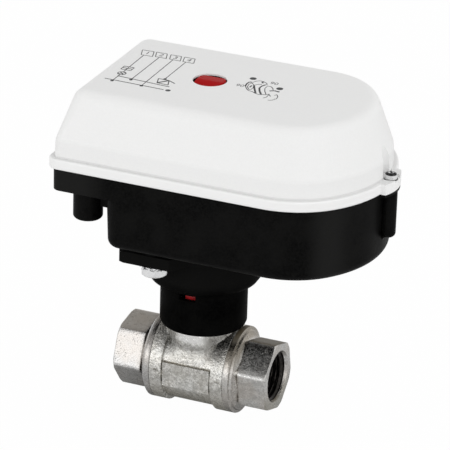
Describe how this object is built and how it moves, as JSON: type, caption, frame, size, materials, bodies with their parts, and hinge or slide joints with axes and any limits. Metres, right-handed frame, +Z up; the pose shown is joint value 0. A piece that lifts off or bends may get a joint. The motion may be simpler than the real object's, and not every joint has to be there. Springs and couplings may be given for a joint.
{
  "type": "motorized ball valve",
  "caption": "Ball valve with two female hexagon pipe ends and a geared electric actuator on its neck, with a turning position indicator.",
  "frame": {"origin": "middle of the inlet port's end face, on the pipe axis", "axes": "+X along the pipe towards the outlet, +Z up the valve's stem, +Y across, away from the cable inlet"},
  "size_m": [0.139, 0.089, 0.1461],
  "materials": {
    "nickel_brass": "nickel-plated forged brass, fine grainy satin",
    "polished_ball": "polished chrome-plated ball",
    "seat_white": "white low-friction plastic",
    "black_plastic": "black fine-textured moulding",
    "white_plastic": "off-white satin moulding",
    "red_plastic": "deep red glossy moulding",
    "steel": "turned steel",
    "zinc_steel": "bright zinc plating",
    "black_rubber": "black rubber",
    "gear_plastic": "natural gear plastic",
    "bush_bronze": "sintered bronze",
    "board_green": "green circuit board",
    "component_black": "moulded component",
    "terminal_green": "green terminal block",
    "motor_can": "plated motor can",
    "can_blue": "sleeved capacitor"
  },
  "bodies": {
    "valve_assembly": {"valve_body": "nickel_brass", "inlet_connector": "nickel_brass", "outlet_connector": "nickel_brass", "inlet_seat": "seat_white", "outlet_seat": "seat_white", "inlet_seal": "black_rubber", "outlet_seal": "black_rubber", "stem_thrust_washer": "seat_white", "gland_nut": "nickel_brass", "adapter_collar": "black_plastic", "adapter_screws": "zinc_steel", "adapter_lock_washers": "zinc_steel", "base_housing": "black_plastic", "cover_gasket": "black_rubber", "cover": "white_plastic", "cover_screws": "zinc_steel", "cable_grommet": "black_rubber", "gear_plate": "steel", "second_gear_axle": "steel", "first_gear_axle": "steel", "base_bush": "bush_bronze", "plate_bush": "bush_bronze", "motor_case": "motor_can", "gear_plate_screws": "zinc_steel", "motor_screws": "zinc_steel", "circuit_board": "board_green", "board_screws": "zinc_steel", "board_standoffs": "steel", "terminal_block": "terminal_green", "motor_relay": "component_black", "motor_capacitor": "can_blue", "open_sensor": "component_black", "closed_sensor": "component_black"},
    "output_train": {"ball": "polished_ball", "valve_stem": "steel", "stem_seal_rings": "black_rubber", "drive_coupling": "red_plastic", "output_shaft": "steel", "output_gear": "steel", "magnet_carrier": "component_black", "sensor_magnet": "steel", "position_indicator": "red_plastic"},
    "second_gear": {"second_reduction_gear": "gear_plastic"},
    "first_gear": {"first_reduction_gear": "gear_plastic"},
    "motor_rotor": {"motor_pinion": "bush_bronze", "motor_shaft": "steel"}
  },
  "joints": [
    {"name": "output_turn", "type": "hinge", "parent": "valve_assembly", "child": "output_train", "pos_m": [0.0345, 0, 0.07], "axis": [0, 0, 1], "range_deg": [-90, 0]},
    {"name": "second_gear_turn", "type": "hinge", "parent": "valve_assembly", "child": "second_gear", "pos_m": [0.05539, -0.01463, 0.076], "axis": [0, 0, 1], "range_deg": [0, 360]},
    {"name": "first_gear_turn", "type": "hinge", "parent": "valve_assembly", "child": "first_gear", "pos_m": [0.06754, -0.00015, 0.082], "axis": [0, 0, 1], "range_deg": [-1260, 0]},
    {"name": "motor_turn", "type": "hinge", "parent": "valve_assembly", "child": "motor_rotor", "pos_m": [0.08318, 0.00404, 0.086], "axis": [0, 0, 1], "range_deg": [0, 4410]}
  ],
  "couplings": [
    {"joint": "second_gear_turn", "follows": "output_turn", "ratio": -4},
    {"joint": "first_gear_turn", "follows": "output_turn", "ratio": 14},
    {"joint": "motor_turn", "follows": "output_turn", "ratio": -49}
  ]
}
